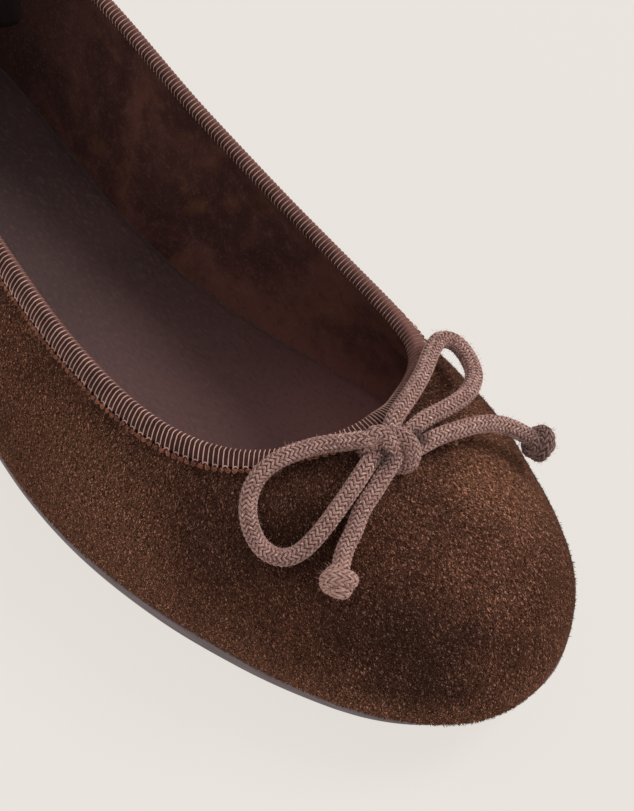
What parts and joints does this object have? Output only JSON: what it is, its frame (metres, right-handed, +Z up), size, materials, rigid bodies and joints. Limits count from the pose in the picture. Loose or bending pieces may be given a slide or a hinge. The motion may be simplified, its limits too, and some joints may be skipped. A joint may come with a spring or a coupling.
{
  "type": "ballet flat",
  "caption": "Right-foot ballet flat: round-toed suede upper with a ribbed ribbon binding, a tied cord bow at the throat, thin sole and low heel.",
  "frame": {"origin": "middle of the shoe's outline seen from above, on the floor it stands on", "axes": "+Z up, toe towards -Y, heel towards +Y, outer (lateral) side towards -X"},
  "size_m": [0.0824, 0.2482, 0.0689],
  "materials": {
    "suede": "dark brown suede with a short nap",
    "binding": "ribbed grosgrain ribbon, matte",
    "cord": "braided cotton cord, matte",
    "insole": "smooth fine-grained leather",
    "sole": "satin moulded rubber",
    "heel": "satin moulded rubber"
  },
  "bodies": {
    "root": {"outsole": "sole", "heel": "heel", "insole": "insole", "upper": "suede", "binding": "binding", "bow_knot": "cord", "bow_loop_lateral": "cord", "bow_loop_medial": "cord", "bow_end_lateral": "cord", "bow_end_medial": "cord", "end_knot_lateral": "cord", "end_knot_medial": "cord"}
  },
  "joints": []
}
